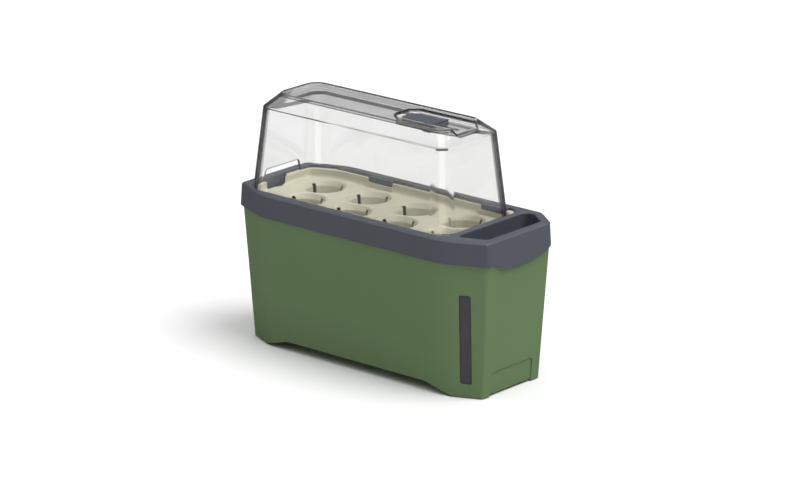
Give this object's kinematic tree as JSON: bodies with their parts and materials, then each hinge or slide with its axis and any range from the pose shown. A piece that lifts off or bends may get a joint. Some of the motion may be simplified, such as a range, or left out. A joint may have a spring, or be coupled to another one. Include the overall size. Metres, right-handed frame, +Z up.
{
  "type": "indoor herb planter",
  "caption": "Indoor herb planter: long eight-sided water tub, slate rim collar with filling trough, lift-out seed tray with planting cups, and clear dome with a sliding vent.",
  "frame": {"origin": "middle of the standing face, under the middle of the planter's plan", "axes": "+X along the planter towards the filling trough, +Y from the front towards the back, +Z up"},
  "size_m": [0.4035, 0.171, 0.3194],
  "materials": {
    "green_shell": "satin, fine moulded grain",
    "slate_shell": "satin, fine moulded grain",
    "cream_shell": "satin",
    "clear_shell": "clear, polished",
    "smoked_pane": "gloss, dark smoked",
    "guide_white": "matt",
    "float_red": "gloss",
    "seal_rubber": "matt",
    "foot_rubber": "matt",
    "screw_steel": "bright"
  },
  "bodies": {
    "tub": {"reservoir_tub": "green_shell", "foot_pads": "foot_rubber", "window_gasket": "seal_rubber", "window_pane": "smoked_pane", "float_guide": "guide_white", "guide_screws": "screw_steel"},
    "float": {"level_float": "float_red"},
    "collar": {"rim_collar": "slate_shell"},
    "tray": {"seed_tray": "cream_shell"},
    "dome": {"clear_dome": "clear_shell"},
    "vent": {"vent_slider": "slate_shell", "slider_keeper": "slate_shell"}
  },
  "joints": [
    {"name": "float_rise", "type": "slide", "parent": "tub", "child": "float", "axis": [0.0263, -0.058, 0.998], "range_m": [0, 0.0874]},
    {"name": "collar_lift", "type": "slide", "parent": "tub", "child": "collar", "axis": [0, 0, 1], "range_m": [0, 0.06]},
    {"name": "tray_lift", "type": "slide", "parent": "collar", "child": "tray", "axis": [0, 0, 1], "range_m": [0, 0.08]},
    {"name": "dome_lift", "type": "slide", "parent": "tray", "child": "dome", "axis": [0, 0, 1], "range_m": [0, 0.12]},
    {"name": "vent_slide", "type": "slide", "parent": "dome", "child": "vent", "axis": [1, 0, 0], "range_m": [0, 0.034]}
  ]
}
